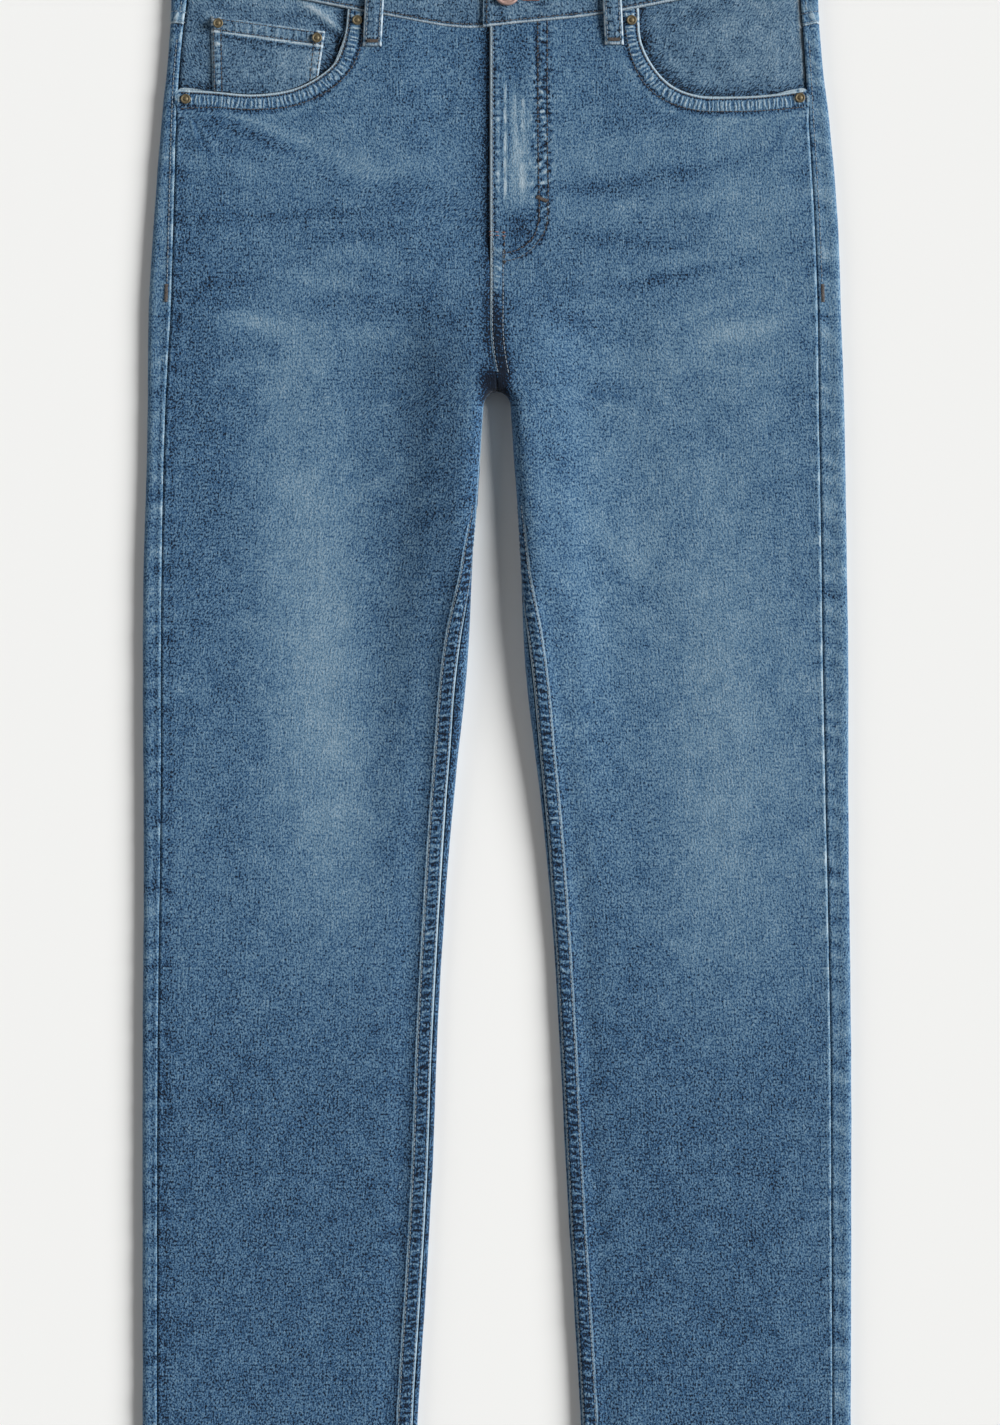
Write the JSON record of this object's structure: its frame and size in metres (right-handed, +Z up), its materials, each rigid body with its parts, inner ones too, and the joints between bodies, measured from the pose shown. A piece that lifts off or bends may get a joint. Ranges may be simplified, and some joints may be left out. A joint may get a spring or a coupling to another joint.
{
  "type": "denim jeans laid flat",
  "caption": "Washed denim jeans with a slim straight leg, laid flat on their back with the front up, fly closed and hems finished.",
  "frame": {"origin": "on the surface that the jeans lie on, under the middle of their bounding box", "axes": "+X to the wearer's left, +Y up the garment to the waistband, +Z up out of the front of the garment"},
  "size_m": [0.4722, 1.1331, 0.0137],
  "materials": {
    "denim": "washed twill, matte",
    "denim_light": "washed twill, matte, a little paler",
    "copper_metal": "satin, aged copper tone",
    "brass_metal": "antique brass"
  },
  "bodies": {
    "root": {"front_right": "denim", "front_left": "denim", "back_right": "denim", "back_left": "denim", "yoke_right": "denim", "yoke_left": "denim", "back_pocket_right": "denim", "back_pocket_left": "denim", "hem_right": "denim", "hem_left": "denim", "belt_loop_front_right": "denim", "belt_loop_front_left": "denim", "belt_loop_back_right": "denim", "belt_loop_centre_back": "denim", "belt_loop_back_left": "denim", "waistband": "denim_light", "pocket_facing_right": "denim_light", "pocket_facing_left": "denim_light", "coin_pocket": "denim_light", "button": "copper_metal", "rivet_mouth_right_inner": "brass_metal", "rivet_mouth_right_outer": "brass_metal", "rivet_mouth_left_inner": "brass_metal", "rivet_mouth_left_outer": "brass_metal", "rivet_coin_outer": "brass_metal", "rivet_coin_inner": "brass_metal"}
  },
  "joints": []
}
